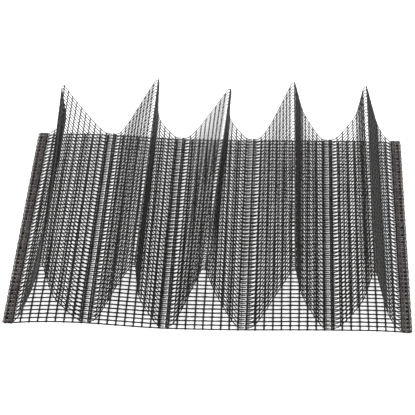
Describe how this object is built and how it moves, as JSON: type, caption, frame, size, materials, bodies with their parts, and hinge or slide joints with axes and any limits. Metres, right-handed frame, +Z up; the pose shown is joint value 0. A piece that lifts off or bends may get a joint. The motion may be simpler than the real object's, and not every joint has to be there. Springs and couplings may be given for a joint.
{
  "type": "baguette tray",
  "caption": "Flexible mesh baking tray: a flat base cloth with a corrugated cloth sewn on it, whose ridges hold long loaves apart.",
  "frame": {"origin": "middle of the underside, on the surface that the tray lies on", "axes": "+X across the channels, +Y along them towards the back, +Z up"},
  "size_m": [0.376, 0.416, 0.067],
  "materials": {
    "mesh_cloth": "satin non-stick coating on open glass-fibre mesh",
    "hem": "the same mesh folded over at the edge, satin",
    "thread": "coated twisted sewing thread, satin"
  },
  "bodies": {
    "strip_1": {"base_strip_1": "mesh_cloth", "ridge_panel_1_left": "mesh_cloth", "ridge_panel_1_right": "mesh_cloth", "hem_left": "hem", "needle_thread_1": "thread", "bobbin_thread_1": "thread", "needle_thread_2_left": "thread", "bobbin_thread_2_left": "thread"},
    "strip_2": {"base_strip_2": "mesh_cloth", "ridge_panel_2_left": "mesh_cloth", "ridge_panel_2_right": "mesh_cloth", "needle_thread_2_right": "thread", "bobbin_thread_2_right": "thread", "needle_thread_3_left": "thread", "bobbin_thread_3_left": "thread"},
    "strip_3": {"base_strip_3": "mesh_cloth", "ridge_panel_3_left": "mesh_cloth", "ridge_panel_3_right": "mesh_cloth", "needle_thread_3_right": "thread", "bobbin_thread_3_right": "thread", "needle_thread_4_left": "thread", "bobbin_thread_4_left": "thread"},
    "strip_4": {"base_strip_4": "mesh_cloth", "ridge_panel_4_left": "mesh_cloth", "ridge_panel_4_right": "mesh_cloth", "needle_thread_4_right": "thread", "bobbin_thread_4_right": "thread", "needle_thread_5_left": "thread", "bobbin_thread_5_left": "thread"},
    "strip_5": {"base_strip_5": "mesh_cloth", "ridge_panel_5_left": "mesh_cloth", "ridge_panel_5_right": "mesh_cloth", "needle_thread_5_right": "thread", "bobbin_thread_5_right": "thread", "hem_right": "hem", "needle_thread_6": "thread", "bobbin_thread_6": "thread"},
    "crest_1": {"ridge_crest_1": "mesh_cloth"},
    "crest_2": {"ridge_crest_2": "mesh_cloth"},
    "crest_3": {"ridge_crest_3": "mesh_cloth"},
    "crest_4": {"ridge_crest_4": "mesh_cloth"},
    "crest_5": {"ridge_crest_5": "mesh_cloth"}
  },
  "joints": [
    {"name": "seam_3_fold", "type": "hinge", "parent": "strip_3", "child": "strip_2", "pos_m": [-0.0392, 0, 0.0012], "axis": [0, 1, 0], "range_deg": [0, 25]},
    {"name": "seam_2_fold", "type": "hinge", "parent": "strip_2", "child": "strip_1", "pos_m": [-0.1112, 0, 0.0012], "axis": [0, 1, 0], "range_deg": [0, 25]},
    {"name": "seam_4_fold", "type": "hinge", "parent": "strip_3", "child": "strip_4", "pos_m": [0.0344, 0, 0.0012], "axis": [0, -1, 0], "range_deg": [0, 25]},
    {"name": "seam_5_fold", "type": "hinge", "parent": "strip_4", "child": "strip_5", "pos_m": [0.1128, 0, 0.0012], "axis": [0, -1, 0], "range_deg": [0, 25]},
    {"name": "ridge_1_sway", "type": "hinge", "parent": "strip_1", "child": "crest_1", "pos_m": [-0.1476, 0, 0], "axis": [0, 1, 0], "range_deg": [-5, 23], "stiffness_Nm_per_rad": 0.15},
    {"name": "ridge_2_sway", "type": "hinge", "parent": "strip_2", "child": "crest_2", "pos_m": [-0.0752, 0, 0], "axis": [0, 1, 0], "range_deg": [-22, 6], "stiffness_Nm_per_rad": 0.15},
    {"name": "ridge_3_sway", "type": "hinge", "parent": "strip_3", "child": "crest_3", "pos_m": [-0.0024, 0, 0], "axis": [0, 1, 0], "range_deg": [-19, 9], "stiffness_Nm_per_rad": 0.15},
    {"name": "ridge_4_sway", "type": "hinge", "parent": "strip_4", "child": "crest_4", "pos_m": [0.0736, 0, 0], "axis": [0, 1, 0], "range_deg": [-16, 12], "stiffness_Nm_per_rad": 0.15},
    {"name": "ridge_5_sway", "type": "hinge", "parent": "strip_5", "child": "crest_5", "pos_m": [0.1484, 0, 0], "axis": [0, 1, 0], "range_deg": [-16, 12], "stiffness_Nm_per_rad": 0.15}
  ]
}
